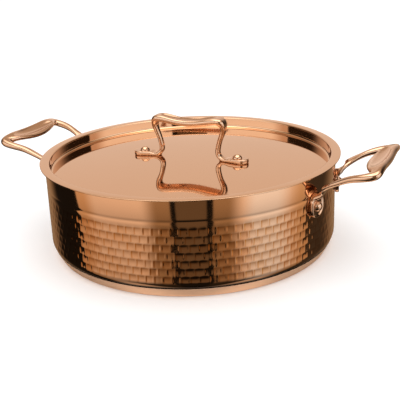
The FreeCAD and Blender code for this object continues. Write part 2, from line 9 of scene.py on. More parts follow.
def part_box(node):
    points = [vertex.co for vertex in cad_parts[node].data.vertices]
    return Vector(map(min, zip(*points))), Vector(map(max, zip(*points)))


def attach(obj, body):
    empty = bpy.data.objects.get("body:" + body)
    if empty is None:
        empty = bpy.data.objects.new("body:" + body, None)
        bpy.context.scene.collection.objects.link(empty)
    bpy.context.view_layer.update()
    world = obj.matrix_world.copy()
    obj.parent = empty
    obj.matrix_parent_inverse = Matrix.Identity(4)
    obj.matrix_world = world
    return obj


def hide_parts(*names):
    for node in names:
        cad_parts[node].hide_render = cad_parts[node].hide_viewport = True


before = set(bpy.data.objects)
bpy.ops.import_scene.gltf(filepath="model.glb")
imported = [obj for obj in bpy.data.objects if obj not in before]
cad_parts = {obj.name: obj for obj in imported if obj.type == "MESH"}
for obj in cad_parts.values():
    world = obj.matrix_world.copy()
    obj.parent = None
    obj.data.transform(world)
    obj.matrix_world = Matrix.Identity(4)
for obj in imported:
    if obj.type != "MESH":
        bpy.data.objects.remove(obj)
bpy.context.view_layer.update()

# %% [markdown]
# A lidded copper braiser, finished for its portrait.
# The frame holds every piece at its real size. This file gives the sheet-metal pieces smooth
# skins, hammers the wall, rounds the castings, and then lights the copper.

FULL_TURN = 2 * math.pi
MM = 0.001


# %% [markdown]
# Most of a pan is turned or pressed, so it is round about one upright axis. An outline is drawn
# once as a wire in the XZ plane, its corners are rounded by bevelling the vertices, and spin
# sweeps it a full turn. Merging the first and last ring closes the seam.

# %% Helpers that turn an outline into a piece
MERGE_REACH = 0.001 * MM


def wire(points):
    """A bmesh that holds one open wire through points given as radius and height in metres."""
    shape = bmesh.new()
    corners = [shape.verts.new((across, 0, height)) for across, height in points]
    for first, second in zip(corners, corners[1:]):
        shape.edges.new((first, second))
    return shape, corners


def round_corner(shape, corner, reach, segments):
    """Round one corner of a wire; reach is measured along the wire from the corner."""
    bmesh.ops.bevel(shape, geom=[corner], offset=reach, segments=segments, profile=0.5,
                    affect="VERTICES", material=-1)


def spin_wire(shape, steps):
    """Sweep a wire a full turn about the Z axis and close it."""
    geometry = shape.verts[:] + shape.edges[:]
    bmesh.ops.spin(shape, geom=geometry, cent=(0, 0, 0), axis=(0, 0, 1), angle=FULL_TURN,
                   steps=steps, use_merge=True)
    bmesh.ops.remove_doubles(shape, verts=shape.verts[:], dist=MERGE_REACH)
    bmesh.ops.dissolve_degenerate(shape, edges=shape.edges[:], dist=MERGE_REACH)
    bmesh.ops.recalc_face_normals(shape, faces=shape.faces[:])


def finish_piece(shape, name, body, node, material):
    """Turn a bmesh into a smooth-shaded object that stands for one node of the frame."""
    mesh = bpy.data.meshes.new(name)
    shape.to_mesh(mesh)
    shape.free()
    mesh.polygons.foreach_set("use_smooth", [True] * len(mesh.polygons))
    piece = bpy.data.objects.new(name, mesh)
    bpy.context.scene.collection.objects.link(piece)
    mesh.materials.append(material)
    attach(piece, body)
    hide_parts(node)
    print(name, len(mesh.polygons), "faces")
    return piece


# %% [markdown]
# The finishes. Polished copper is a plain metal, but it is never perfectly clean: wiping leaves
# faint hazy patches and hair-fine arcs. A painted picture could carry them, but noise needs no
# unwrapping and never repeats. Every copper piece shares them, so they are one node group with
# its own values in each material. The steel is brushed in circles, and the aluminium has the
# straight grain of rolled sheet.

# %% A node group for wiped metal
def wiped_metal_group():
    """Haze and fine wipe marks: a roughness that varies, and a mask for a slight tint."""
    group = bpy.data.node_groups.new("wiped_metal", "ShaderNodeTree")
    sockets = group.interface
    inputs = {"Haze scale": 9.0, "Smooth": 0.05, "Hazy": 0.16, "Wipe scale": 900.0}
    for name, default in inputs.items():
        socket = sockets.new_socket(name, in_out="INPUT", socket_type="NodeSocketFloat")
        socket.default_value = default
    for name in ("Roughness", "Tint"):
        sockets.new_socket(name, in_out="OUTPUT", socket_type="NodeSocketFloat")
    nodes, links = group.nodes, group.links
    given = nodes.new("NodeGroupInput")
    result = nodes.new("NodeGroupOutput")
    place = nodes.new("ShaderNodeTexCoord")
    haze = nodes.new("ShaderNodeTexNoise")
    haze.inputs["Detail"].default_value = 4.0
    links.new(place.outputs["Object"], haze.inputs["Vector"])
    links.new(given.outputs["Haze scale"], haze.inputs["Scale"])
    wipe = nodes.new("ShaderNodeTexNoise")
    wipe.inputs["Detail"].default_value = 2.0
    stretch = nodes.new("ShaderNodeMapping")
    stretch.inputs["Scale"].default_value = (1.0, 0.12, 1.0)
    links.new(place.outputs["Object"], stretch.inputs["Vector"])
    links.new(stretch.outputs["Vector"], wipe.inputs["Vector"])
    links.new(given.outputs["Wipe scale"], wipe.inputs["Scale"])
    blend = nodes.new("ShaderNodeMath")
    blend.operation = "MULTIPLY"
    links.new(haze.outputs["Fac"], blend.inputs[0])
    links.new(wipe.outputs["Fac"], blend.inputs[1])
    level = nodes.new("ShaderNodeMapRange")
    level.inputs["From Min"].default_value = 0.16
    level.inputs["From Max"].default_value = 0.4
    links.new(blend.outputs["Value"], level.inputs["Value"])
    links.new(given.outputs["Smooth"], level.inputs["To Min"])
    links.new(given.outputs["Hazy"], level.inputs["To Max"])
    links.new(level.outputs["Result"], result.inputs["Roughness"])
    links.new(haze.outputs["Fac"], result.inputs["Tint"])
    return group


WIPED_METAL = wiped_metal_group()


def copper(name, deep, pale, haze_scale, smooth, hazy):
    """A polished copper whose colour drifts between deep and pale."""
    material = bpy.data.materials.new(name)
    material.use_nodes = True
    nodes, links = material.node_tree.nodes, material.node_tree.links
    surface = nodes["Principled BSDF"]
    surface.inputs["Metallic"].default_value = 1.0
    marks = nodes.new("ShaderNodeGroup")
    marks.node_tree = WIPED_METAL
    marks.inputs["Haze scale"].default_value = haze_scale
    marks.inputs["Smooth"].default_value = smooth
    marks.inputs["Hazy"].default_value = hazy
    drift = nodes.new("ShaderNodeMix")
    drift.data_type = "RGBA"
    drift.inputs["A"].default_value = (*deep, 1)
    drift.inputs["B"].default_value = (*pale, 1)
    links.new(marks.outputs["Tint"], drift.inputs["Factor"])
    links.new(drift.outputs["Result"], surface.inputs["Base Color"])
    links.new(marks.outputs["Roughness"], surface.inputs["Roughness"])
    return material


# %% The coppers, the steel and the aluminium
# Each has its deep and pale colour, the scale of its haze, and its least and most roughness.
LID_COPPER = copper("lid_copper", (0.72, 0.455, 0.285), (0.75, 0.485, 0.31), 6.0, 0.03, 0.07)
WALL_COPPER = copper("wall_copper", (0.70, 0.415, 0.245), (0.74, 0.445, 0.27), 14.0, 0.04, 0.10)
CAST_COPPER = copper("cast_copper", (0.69, 0.455, 0.31), (0.73, 0.49, 0.34), 25.0, 0.10, 0.2)
BASE_COPPER = copper("base_copper", (0.81, 0.485, 0.295), (0.85, 0.525, 0.335), 30.0, 0.3, 0.4)
SATIN_METALLIC = 0.45
satin = BASE_COPPER.node_tree.nodes["Principled BSDF"]
satin.inputs["Metallic"].default_value = SATIN_METALLIC
# The marks' colour at their darkest: painted shade towards their steps and beside their joints,
# along with the dullness of their hollows.
DULL_AND_SHADE_TINT = (0.72, 0.45, 0.15, 1)
# The wall's colour is multiplied down to nearly black below the seam's height: painted shade in
# the corner above the base.
SEAM_SHADE = 0.05
SEAM_LOW = 11.4 * MM
SEAM_HIGH = 13.6 * MM


def dull_and_shade_hollows(material):
    """Darken a copper with painted shade towards the marks' steps and beside their joints, where
    the hollows are also dull, and with painted shade along the seam above the base.
    """
    nodes, links = material.node_tree.nodes, material.node_tree.links
    surface = nodes["Principled BSDF"]
    bare = surface.inputs["Base Color"].links[0].from_socket
    polish_and_shade_layer = nodes.new("ShaderNodeAttribute")
    polish_and_shade_layer.attribute_name = "polish_and_shade"
    marks = nodes.new("ShaderNodeMix")
    marks.data_type = "RGBA"
    marks.inputs["A"].default_value = DULL_AND_SHADE_TINT
    marks.inputs["B"].default_value = (1, 1, 1, 1)
    links.new(polish_and_shade_layer.outputs["Fac"], marks.inputs["Factor"])
    place = nodes.new("ShaderNodeTexCoord")
    height = nodes.new("ShaderNodeSeparateXYZ")
    links.new(place.outputs["Object"], height.inputs["Vector"])
    # Painted shade along the seam, darkest at the bottom.
    seam = nodes.new("ShaderNodeMapRange")
    seam.inputs["From Min"].default_value = SEAM_LOW
    seam.inputs["From Max"].default_value = SEAM_HIGH
    seam.inputs["To Min"].default_value = SEAM_SHADE
    links.new(height.outputs["Z"], seam.inputs["Value"])
    for factor in (marks.outputs["Result"], seam.outputs["Result"]):
        dulled_and_shaded = nodes.new("ShaderNodeMix")
        dulled_and_shaded.data_type = "RGBA"
        dulled_and_shaded.blend_type = "MULTIPLY"
        dulled_and_shaded.inputs["Factor"].default_value = 1.0
        links.new(bare, dulled_and_shaded.inputs["A"])
        links.new(factor, dulled_and_shaded.inputs["B"])
        bare = dulled_and_shaded.outputs["Result"]
    links.new(bare, surface.inputs["Base Color"])


# The wall gets painted shade at its marks and along its seam.
dull_and_shade_hollows(WALL_COPPER)


def brushed_steel():
    """Stainless with the level brush lines that a turning pad leaves."""
    material = bpy.data.materials.new("liner_steel")
    material.use_nodes = True
    nodes, links = material.node_tree.nodes, material.node_tree.links
    surface = nodes["Principled BSDF"]
    surface.inputs["Metallic"].default_value = 1.0
    place = nodes.new("ShaderNodeTexCoord")
    parts = nodes.new("ShaderNodeSeparateXYZ")
    links.new(place.outputs["Object"], parts.inputs["Vector"])
    flat = nodes.new("ShaderNodeCombineXYZ")
    links.new(parts.outputs["X"], flat.inputs["X"])
    links.new(parts.outputs["Y"], flat.inputs["Y"])
    reach = nodes.new("ShaderNodeVectorMath")
    reach.operation = "LENGTH"
    links.new(flat.outputs["Vector"], reach.inputs[0])
    turn = nodes.new("ShaderNodeMath")
    turn.operation = "ARCTAN2"
    links.new(parts.outputs["Y"], turn.inputs[0])
    links.new(parts.outputs["X"], turn.inputs[1])
    slow = nodes.new("ShaderNodeMath")
    slow.operation = "MULTIPLY"
    slow.inputs[1].default_value = 0.004
    links.new(turn.outputs["Value"], slow.inputs[0])
    lines = nodes.new("ShaderNodeCombineXYZ")
    links.new(reach.outputs["Value"], lines.inputs["X"])
    links.new(slow.outputs["Value"], lines.inputs["Y"])
    links.new(parts.outputs["Z"], lines.inputs["Z"])
    grain = nodes.new("ShaderNodeTexNoise")
    grain.inputs["Scale"].default_value = 700.0
    grain.inputs["Detail"].default_value = 3.0
    links.new(lines.outputs["Vector"], grain.inputs["Vector"])
    shade = nodes.new("ShaderNodeMix")
    shade.data_type = "RGBA"
    shade.inputs["A"].default_value = (0.60, 0.59, 0.58, 1)
    shade.inputs["B"].default_value = (0.74, 0.73, 0.72, 1)
    links.new(grain.outputs["Fac"], shade.inputs["Factor"])
    links.new(shade.outputs["Result"], surface.inputs["Base Color"])
    level = nodes.new("ShaderNodeMapRange")
    level.inputs["To Min"].default_value = 0.2
    level.inputs["To Max"].default_value = 0.36
    links.new(grain.outputs["Fac"], level.inputs["Value"])
    links.new(level.outputs["Result"], surface.inputs["Roughness"])
    return material


def rolled_aluminium():
    """The plain disc inside the base, with the straight grain of rolled sheet."""
    material = bpy.data.materials.new("core_aluminium")
    material.use_nodes = True
    nodes, links = material.node_tree.nodes, material.node_tree.links
    surface = nodes["Principled BSDF"]
    surface.inputs["Metallic"].default_value = 1.0
    surface.inputs["Base Color"].default_value = (0.78, 0.78, 0.79, 1)
    place = nodes.new("ShaderNodeTexCoord")
    stretch = nodes.new("ShaderNodeMapping")
    stretch.inputs["Scale"].default_value = (1.0, 60.0, 1.0)
    grain = nodes.new("ShaderNodeTexNoise")
    grain.inputs["Scale"].default_value = 30.0
    level = nodes.new("ShaderNodeMapRange")
    level.inputs["To Min"].default_value = 0.3
    level.inputs["To Max"].default_value = 0.5
    links.new(place.outputs["Object"], stretch.inputs["Vector"])
    links.new(stretch.outputs["Vector"], grain.inputs["Vector"])
    links.new(grain.outputs["Fac"], level.inputs["Value"])
    links.new(level.outputs["Result"], surface.inputs["Roughness"])
    return material


LINER_STEEL = brushed_steel()
CORE_ALUMINIUM = rolled_aluminium()
print("finishes", [material.name for material in bpy.data.materials])


# %% [markdown]
# The pot's shell. Its wall is smooth under the rim, then a shallow crease, then seven staggered
# rows of hammer marks, then a smooth strip into the corner. The marks could be a bump in the
# material, but they catch the light at the outline too, so they are real: the band of the wall
# is cut fine enough to give each mark eight steps each way, and its points are pushed inwards.
# Each mark sinks slowly from its foot to a step at its top, as a blow from a tilted hammer leaves.

# %% Sizes of the shell
shell_low, shell_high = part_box("pot_shell")
WALL_RADIUS = shell_high.x
RIM_HEIGHT = shell_high.z
SHELL_WALL = 1.5 * MM
SHELL_CORNER = 10.0 * MM
CREASE_HEIGHT = RIM_HEIGHT - 20.0 * MM
CREASE_DEPTH = 0.25 * MM
CREASE_HALF = 2.0 * MM
MARK_ROWS = 7
MARKS_PER_ROW = 114
MARK_STEPS = 8
BAND_LOW = 15.0 * MM
BAND_HIGH = 66.4 * MM
EDGE_STEPS = 8
RIM_ROUND = 0.3 * MM
LIP_STEPS = 3
CREASE_ROUND = 0.95 * MM
CREASE_STEPS = 5
MARK_GRID = (BAND_HIGH - BAND_LOW) / (MARK_ROWS * MARK_STEPS)
CORNER_LINES = 2  # grid lines of the lowest row that lie on the round corner

# %% Sizes of a mark
BLOW_SEED = 11
MARK_DEPTH = 0.21 * MM
DEPTH_SPREAD = (0.7, 1.2)
MEAN_SPREAD = sum(DEPTH_SPREAD) / 2
MARK_TILT = 0.4
MARK_SWAY = 0.06
FLAT_ALONG = 8
STEP_SHARP = 2
STEP_SCALE = 2.6  # brings the deepest point of up_mark to one
# How far the band is darkened: painted shade towards each mark's step and beside its joint, and a
# tone that follows each mark's depth.
RIDGE_POLISH = 0.88
STEP_SHADE = 0.6
DEPTH_DULL = 0.8
SIDE_SHADE = 0.6
JOINT_SIDE = (0.05, 0.2)  # where a mark is dull beside its neighbour, in shares of its length
JOINT_FOOT = 0.1
ON_LINE = 0.001
ON_WALL = 0.01 * MM


# %% The hammered shell
def shell_outline():
    """The shell's outline, from the middle of its underside round to the middle of its floor."""
    floor = shell_low.z
    inside = WALL_RADIUS - SHELL_WALL
    shape, corners = wire([
        (0, floor),
        (WALL_RADIUS, floor),
        (WALL_RADIUS, BAND_LOW + CORNER_LINES * MARK_GRID),
        (WALL_RADIUS, BAND_HIGH),
        (WALL_RADIUS, CREASE_HEIGHT - CREASE_HALF),
        (WALL_RADIUS - CREASE_DEPTH, CREASE_HEIGHT),
        (WALL_RADIUS, CREASE_HEIGHT + CREASE_HALF),
        (WALL_RADIUS, RIM_HEIGHT),
        (inside, RIM_HEIGHT),
        (inside, floor + SHELL_WALL),
        (0, floor + SHELL_WALL),
    ])
    (_, foot, band_foot, band_top, crease_foot, crease, crease_top,
     outer_lip, inner_lip, floor_bend, _) = corners
    round_corner(shape, foot, SHELL_CORNER, EDGE_STEPS)
    round_corner(shape, floor_bend, SHELL_CORNER - SHELL_WALL, EDGE_STEPS)
    for lip in (outer_lip, inner_lip):
        round_corner(shape, lip, RIM_ROUND, LIP_STEPS)
    for bend in (crease_foot, crease, crease_top):
        round_corner(shape, bend, CREASE_ROUND, CREASE_STEPS)
    band = next(edge for edge in band_foot.link_edges if band_top in edge.verts)
    cuts = MARK_ROWS * MARK_STEPS - CORNER_LINES - 1
    bmesh.ops.subdivide_edges(shape, edges=[band], cuts=cuts)
    return shape


def across_mark(share):
    """How deep a mark is along the wall: nought at both its sides and nearly flat between."""
    return 1 - abs(2 * share - 1) ** FLAT_ALONG


def up_mark(share):
    """How deep a mark is up the wall: it sinks slowly from its foot and ends in a step."""
    return STEP_SCALE * share * (1 - share ** STEP_SHARP)


def draw_blows():
    """Depth, tilt and sway of every mark, row by row."""
    draw = random.Random(BLOW_SEED)
    return [[(MARK_DEPTH * draw.uniform(*DEPTH_SPREAD),
              draw.uniform(-MARK_TILT, MARK_TILT),
              draw.uniform(-MARK_SWAY, MARK_SWAY)) for _ in range(MARKS_PER_ROW)]
            for _ in range(MARK_ROWS)]


def hammer(shape):
    """Push the band's points inwards, mark by mark, with each row half a mark along.

    The darkening layer is one on the smooth wall and falls towards the step of each mark and
    beside its joint: painted shade there, along with the real dullness of hollows."""
    polish_and_shade = shape.verts.layers.float.new("polish_and_shade")
    blows = draw_blows()
    mark_turn = FULL_TURN / MARKS_PER_ROW
    for vertex in shape.verts:
        vertex[polish_and_shade] = 1.0
        radius = math.hypot(vertex.co.x, vertex.co.y)
        climb = (vertex.co.z - BAND_LOW) / (MARK_GRID * MARK_STEPS)
        on_band = ON_LINE < climb < MARK_ROWS - ON_LINE
        if radius < WALL_RADIUS - ON_WALL or not on_band:
            continue
        row = int(climb + ON_LINE)
        up = max(0.0, climb - row)
        turn = math.atan2(vertex.co.y, vertex.co.x)
        along = (turn / mark_turn + 0.5 * (row % 2) + ON_LINE) % MARKS_PER_ROW
        mark = int(along)
        along = max(0.0, along - mark - ON_LINE)
        depth, tilt, sway = blows[row][mark]
        next_sway = blows[row][(mark + 1) % MARKS_PER_ROW][2]
        slope = 1 + tilt * (2 * along - 1)
        radius -= depth * slope * across_mark(along) * up_mark(up)
        turn += (sway + (next_sway - sway) * along) * up_mark(up) * mark_turn
        vertex.co = Vector((radius * math.cos(turn), radius * math.sin(turn), vertex.co.z))
        # Painted shade: the colour darkens towards each mark's step and beside its neighbour's
        # edge.
        beside_joint = JOINT_SIDE[0] < along < JOINT_SIDE[1] and up > JOINT_FOOT
        dull_and_shade = STEP_SHADE * up ** 2 + DEPTH_DULL * (depth / MARK_DEPTH - MEAN_SPREAD)
        dull_and_shade = dull_and_shade * across_mark(along) ** 0.5 + SIDE_SHADE * beside_joint
        vertex[polish_and_shade] = RIDGE_POLISH - dull_and_shade


shell = shell_outline()
spin_wire(shell, MARKS_PER_ROW * MARK_STEPS)
hammer(shell)
finish_piece(shell, "hammered_shell", "pot", "pot_shell", WALL_COPPER)

# %% [markdown]
# The liner is the steel bowl that food touches. It follows the inside of the shell, so its
# outline is two parallel lines with a round corner, and only its own brushed finish is new.

# %% The liner
LINER_WALL = 1.0 * MM
SHEET_LIP = 0.25 * MM
liner_low, liner_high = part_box("inner_liner")
liner_inside = liner_high.x - LINER_WALL
liner_floor = liner_low.z + LINER_WALL
liner, liner_corners = wire([
    (0, liner_low.z),
    (liner_high.x, liner_low.z),
    (liner_high.x, liner_high.z),
    (liner_inside, liner_high.z),
    (liner_inside, liner_floor),
    (0, liner_floor),
])
liner_bend = SHELL_CORNER - SHELL_WALL
round_corner(liner, liner_corners[1], liner_bend, EDGE_STEPS)
round_corner(liner, liner_corners[4], liner_bend - LINER_WALL, EDGE_STEPS)
for lip in liner_corners[2:4]:
    round_corner(liner, lip, SHEET_LIP, LIP_STEPS)
ROUND_STEPS = 256
spin_wire(liner, ROUND_STEPS)
finish_piece(liner, "steel_liner", "pot", "inner_liner", LINER_STEEL)

# %% [markdown]
# The base cap is a shallow cup pressed over the heat disc, with a rim that flares up the shell.
# A cylinder could be bevelled and hollowed, but a turned outline with a rounded foot is shorter.

# %% The base cap and the disc inside it
CAP_SHEET = 0.8 * MM
CAP_FLARE = 5.0 * MM
CAP_ROUND = 1.5 * MM
_, cap_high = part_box("base_cap")
cap_foot = cap_high.x - CAP_FLARE
cap, cap_corners = wire([
    (0, 0),
    (cap_foot, 0),
    (cap_high.x, cap_high.z),
    (cap_high.x - CAP_SHEET, cap_high.z),
    (cap_foot - CAP_SHEET, CAP_SHEET),
    (0, CAP_SHEET),
])
round_corner(cap, cap_corners[1], CAP_ROUND, EDGE_STEPS)
for lip in cap_corners[2:4]:
    round_corner(cap, lip, SHEET_LIP, LIP_STEPS)
spin_wire(cap, ROUND_STEPS)
finish_piece(cap, "copper_base", "pot", "base_cap", BASE_COPPER)
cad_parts["base_core"].data.materials.clear()
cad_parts["base_core"].data.materials.append(CORE_ALUMINIUM)

# %% [markdown]
# The lid is one pressing: a flat flange that rests on the rim, a short wall that drops into the
# mouth, and a disc that domes up a little, which is why it shrinks what it mirrors. The dome is
# an arc worked out from its rise, in enough steps for the mirror to look smooth.

# %% The lid
LID_SHEET = 1.0 * MM
DISC_DROP = 10.8 * MM
DISC_RISE = 3.4 * MM
FLANGE_WIDTH = 9.32 * MM
FLANGE_BEND = 1.6 * MM
RECESS_FILLET = 3.0 * MM
FLANGE_LIP = 0.35 * MM
FLANGE_LIP_STEPS = 4
DOME_STEPS = 24
_, lid_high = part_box("lid_pan")
plug = lid_high.x - FLANGE_WIDTH
disc_edge = lid_high.z - DISC_DROP
disc_crown = disc_edge + DISC_RISE
dome_radius = (plug ** 2 + DISC_RISE ** 2) / (2 * DISC_RISE)


def dome_height(reach):
    """Height of the disc's top at a distance from its middle."""
    return disc_crown - dome_radius + math.sqrt(dome_radius ** 2 - reach ** 2)


def dome_line(reach, drop):
    """Points from the middle of the dome out to a reach, as far below its top as drop."""
    shares = [step / DOME_STEPS for step in range(DOME_STEPS + 1)]
    return [(reach * share, dome_height(reach * share) - drop) for share in shares]


under = dome_line(plug + LID_SHEET, LID_SHEET)
over = dome_line(plug, 0)
lid, lid_corners = wire([
    *under,
    (plug + LID_SHEET, lid_high.z - LID_SHEET),
    (lid_high.x, lid_high.z - LID_SHEET),
    (lid_high.x, lid_high.z),
    (plug, lid_high.z),
    *reversed(over),
])
flange_start = len(under)
round_corner(lid, lid_corners[flange_start - 1], RECESS_FILLET + LID_SHEET, EDGE_STEPS)
round_corner(lid, lid_corners[flange_start + 4], RECESS_FILLET, EDGE_STEPS)
round_corner(lid, lid_corners[flange_start], FLANGE_BEND - LID_SHEET, EDGE_STEPS)
round_corner(lid, lid_corners[flange_start + 3], FLANGE_BEND, EDGE_STEPS)
for lip in lid_corners[flange_start + 1:flange_start + 3]:
    round_corner(lid, lip, FLANGE_LIP, FLANGE_LIP_STEPS)
spin_wire(lid, ROUND_STEPS)
finish_piece(lid, "copper_lid", "lid", "lid_pan", LID_COPPER)


# %% [markdown]
# The three handles are castings. The frame already holds their lofted loops, but a casting has no
# sharp inner corner: metal flows into every joint. A copy of each solid is remeshed into small
# even cells and smoothed, which melts the corners between tab, arm and grip into soft fillets.
# The feet of the lid's handle are then raised a little, because the photograph's are thicker.

# %% The cast handles
CAST_CELL = 0.55 * MM
CAST_MERGE = 0.01 * MM
MELT_FACTOR = 0.5
MELT_ROUNDS = 14


def cast_copy(node, name, body):
    """A smooth, even-celled copy of one cast node of the frame."""
    shape = bmesh.new()
    shape.from_mesh(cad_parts[node].data)
    bmesh.ops.remove_doubles(shape, verts=shape.verts[:], dist=CAST_MERGE)
    mesh = bpy.data.meshes.new(f"{name}_cells")
    shape.to_mesh(mesh)
    shape.free()
    draft = bpy.data.objects.new(f"{name}_draft", mesh)
    bpy.context.scene.collection.objects.link(draft)
    cells = draft.modifiers.new("cells", "REMESH")
    cells.mode = "VOXEL"
    cells.voxel_size = CAST_CELL
    melt = draft.modifiers.new("melt", "SMOOTH")
    melt.factor = MELT_FACTOR
    melt.iterations = MELT_ROUNDS
    depsgraph = bpy.context.evaluated_depsgraph_get()
    melted = bpy.data.meshes.new_from_object(draft.evaluated_get(depsgraph))
    bpy.data.objects.remove(draft)
    result = bmesh.new()
    result.from_mesh(melted)
    bpy.data.meshes.remove(melted)
    return finish_piece(result, name, body, node, CAST_COPPER)


cast_copy("right_handle", "right_loop", "pot")
cast_copy("left_handle", "left_loop", "pot")
lid_strap = cast_copy("lid_handle", "lid_strap", "lid")

# %% The feet of the lid's handle
FOOT_LIFT = 1.3 * MM
FOOT_BOTTOM = 84.9 * MM
FOOT_TOP = 87.6 * MM
FOOT_START = 38.5 * MM
FOOT_FULL = 43.5 * MM
FOOT_CLEAR = 95.0 * MM
for vertex in lid_strap.data.vertices:
    if vertex.co.z < FOOT_CLEAR:
        along = (abs(vertex.co.x) - FOOT_START) / (FOOT_FULL - FOOT_START)
        up = (vertex.co.z - FOOT_BOTTOM) / (FOOT_TOP - FOOT_BOTTOM)
        vertex.co.z += FOOT_LIFT * min(1, max(0, along)) * min(1, max(0, up))


# %% [markdown]
# Each handle is held by solid rivets. A rivet is a domed head outside, a shank through the wall
# and a flatter dome hammered over inside. Squashed spheres could stand for the heads, but spinning
# one outline upright and turning it the way its rivet points gives the whole rivet at once.

# %% The rivets
HEAD_RADIUS = 5.0 * MM
HEAD_HEIGHT = 4.0 * MM
SHANK_RADIUS = 3.0 * MM
TAIL_HEIGHT = 1.6 * MM
WALL_GRIP = 6.83 * MM
DOME_SEGMENTS = 10
RIVET_STEPS = 48
TAB_FIELD = 3.0 * MM  # from the wall to the sunk face that a head sits on


def cap_line(radius, height, level, upwards):
    """Points of a low dome from its rim to its top, on a circle about the axis."""
    ball = (radius ** 2 + height ** 2) / (2 * height)
    turn = math.asin(min(1.0, radius / ball))
    points = []
    for step in range(DOME_SEGMENTS + 1):
        lean = turn * (1 - step / DOME_SEGMENTS)
        rise = ball * math.cos(lean) - (ball - height)
        points.append((ball * math.sin(lean), level + upwards * rise))
    return points


def make_rivet(node, body, grip, place):
    """A rivet whose head sits at the origin and points up, moved to its seat by a matrix."""
    tail = cap_line(HEAD_RADIUS, TAIL_HEIGHT, -grip, -1)
    head = cap_line(HEAD_RADIUS, HEAD_HEIGHT, 0, 1)
    shank = [(SHANK_RADIUS, -grip), (SHANK_RADIUS, 0)]
    shape, _ = wire([*reversed(tail), *shank, *head])
    spin_wire(shape, RIVET_STEPS)
    bmesh.ops.transform(shape, matrix=place, verts=shape.verts[:])
    name = node.replace("_rivet", "_rivet_dome")
    finish_piece(shape, name, body, node, CAST_COPPER)


for node in sorted(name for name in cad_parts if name.endswith("_rivet")):
    low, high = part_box(node)
    middle = (low + high) / 2
    if node.startswith("lid"):
        seat = Vector((middle.x, middle.y, high.z + FOOT_LIFT - HEAD_HEIGHT))
        lid_grip = seat.z - low.z - TAIL_HEIGHT
        make_rivet(node, "lid", lid_grip, Matrix.Translation(seat))
        continue
    outwards = Vector((middle.x, middle.y, 0)).normalized()
    seat = outwards * (WALL_RADIUS + TAB_FIELD) + Vector((0, 0, middle.z))
    facing = outwards.to_track_quat("Z", "Y").to_matrix().to_4x4()
    make_rivet(node, "pot", WALL_GRIP, Matrix.Translation(seat) @ facing)

# %% [markdown]
# The camera stands where the photograph's did: a little to the right of the front, about twenty
# degrees up, and rolled a touch. Its place was found from the ellipses of the rim and the base.

# %% The camera
CAMERA_AZIMUTH = math.radians(25.4)
CAMERA_ELEVATION = math.radians(19.4)
CAMERA_ROLL = math.radians(-2.49)
CAMERA_DISTANCE = 0.7545
CAMERA_LENS = 66.8
CAMERA_SENSOR = 36.0
CAMERA_SHIFT = (0.0206, -0.0116)
AIM = Vector((0, 0, 0.045))
back = Vector((
    math.sin(CAMERA_AZIMUTH) * math.cos(CAMERA_ELEVATION),
    -math.cos(CAMERA_AZIMUTH) * math.cos(CAMERA_ELEVATION),
    math.sin(CAMERA_ELEVATION),
))
camera = bpy.data.objects.new("camera", bpy.data.cameras.new("camera"))
bpy.context.scene.collection.objects.link(camera)
camera.location = AIM + back * CAMERA_DISTANCE
camera.rotation_mode = "QUATERNION"
roll = Quaternion((0, 0, 1), CAMERA_ROLL)
camera.rotation_quaternion = (-back).to_track_quat("-Z", "Y") @ roll
camera.data.lens = CAMERA_LENS
camera.data.sensor_width = CAMERA_SENSOR
camera.data.shift_x, camera.data.shift_y = CAMERA_SHIFT
bpy.context.scene.camera = camera
print("camera at", [round(number, 3) for number in camera.location])

# %% [markdown]
# Polished metal shows its room, so the room is what is designed here. It is painted on the world
# as panels, each between two bearings from the camera and two heights above the horizon, one
# over another: cool windows to the left and right, a grey card round the camera with black edges,
# black flags at the sides, a dark front below and a strip overhead that glints on the castings.
# Only reflections see it. The background and the light on the floor are plain white.

# %% The room
scene = bpy.context.scene
scene.view_settings.view_transform = "Standard"
world = bpy.data.worlds.new("white_room")
scene.world = world
world.use_nodes = True
room = world.node_tree


def room_math(operation, *values):
    """A math node of the room; each value is a socket or a number."""
    node = room.nodes.new("ShaderNodeMath")
    node.operation = operation
    for index, value in enumerate(values):
        if isinstance(value, bpy.types.NodeSocket):
            room.links.new(value, node.inputs[index])
        else:
            node.inputs[index].default_value = value
    return node.outputs["Value"]


def step_up(angle, edge, softness):
    """A socket that goes from nought to one where an angle passes an edge; all in degrees."""
    ramp = room.nodes.new("ShaderNodeMapRange")
    ramp.interpolation_type = "SMOOTHSTEP"
    ramp.inputs["From Min"].default_value = math.radians(edge - softness)
    ramp.inputs["From Max"].default_value = math.radians(edge + softness)
    room.links.new(angle, ramp.inputs["Value"])
    return ramp.outputs["Result"]


def between(angle, first, last, soft_first, soft_last):
    """A socket that is one where an angle lies between two edges."""
    inside = room_math("SUBTRACT", 1.0, step_up(angle, last, soft_last))
    return room_math("MULTIPLY", step_up(angle, first, soft_first), inside)


def room_angles():
    """Two sockets: the bearing from the camera's, positive to its right, and the height."""
    place = room.nodes.new("ShaderNodeTexCoord")
    turned = room.nodes.new("ShaderNodeVectorRotate")
    turned.rotation_type = "Z_AXIS"
    turned.inputs["Angle"].default_value = -CAMERA_AZIMUTH
    parts = room.nodes.new("ShaderNodeSeparateXYZ")
    room.links.new(place.outputs["Generated"], turned.inputs["Vector"])
    room.links.new(turned.outputs["Vector"], parts.inputs["Vector"])
    towards = room_math("MULTIPLY", parts.outputs["Y"], -1.0)
    turn = room_math("ARCTAN2", parts.outputs["X"], towards)
    return turn, room_math("ARCSINE", parts.outputs["Z"])


def panel(below, turns, heights, colour):
    """Lay one panel over the paint so far.

    turns and heights are in degrees: first, last, and how soft each of the two edges is."""
    mask = room_math("MULTIPLY", between(room_turn, *turns), between(room_height, *heights))
    over = room.nodes.new("ShaderNodeMix")
    over.data_type = "RGBA"
    over.inputs["B"].default_value = (*colour, 1)
    room.links.new(mask, over.inputs["Factor"])
    if isinstance(below, bpy.types.NodeSocket):
        room.links.new(below, over.inputs["A"])
    else:
        over.inputs["A"].default_value = (*below, 1)
    return over.outputs["Result"]


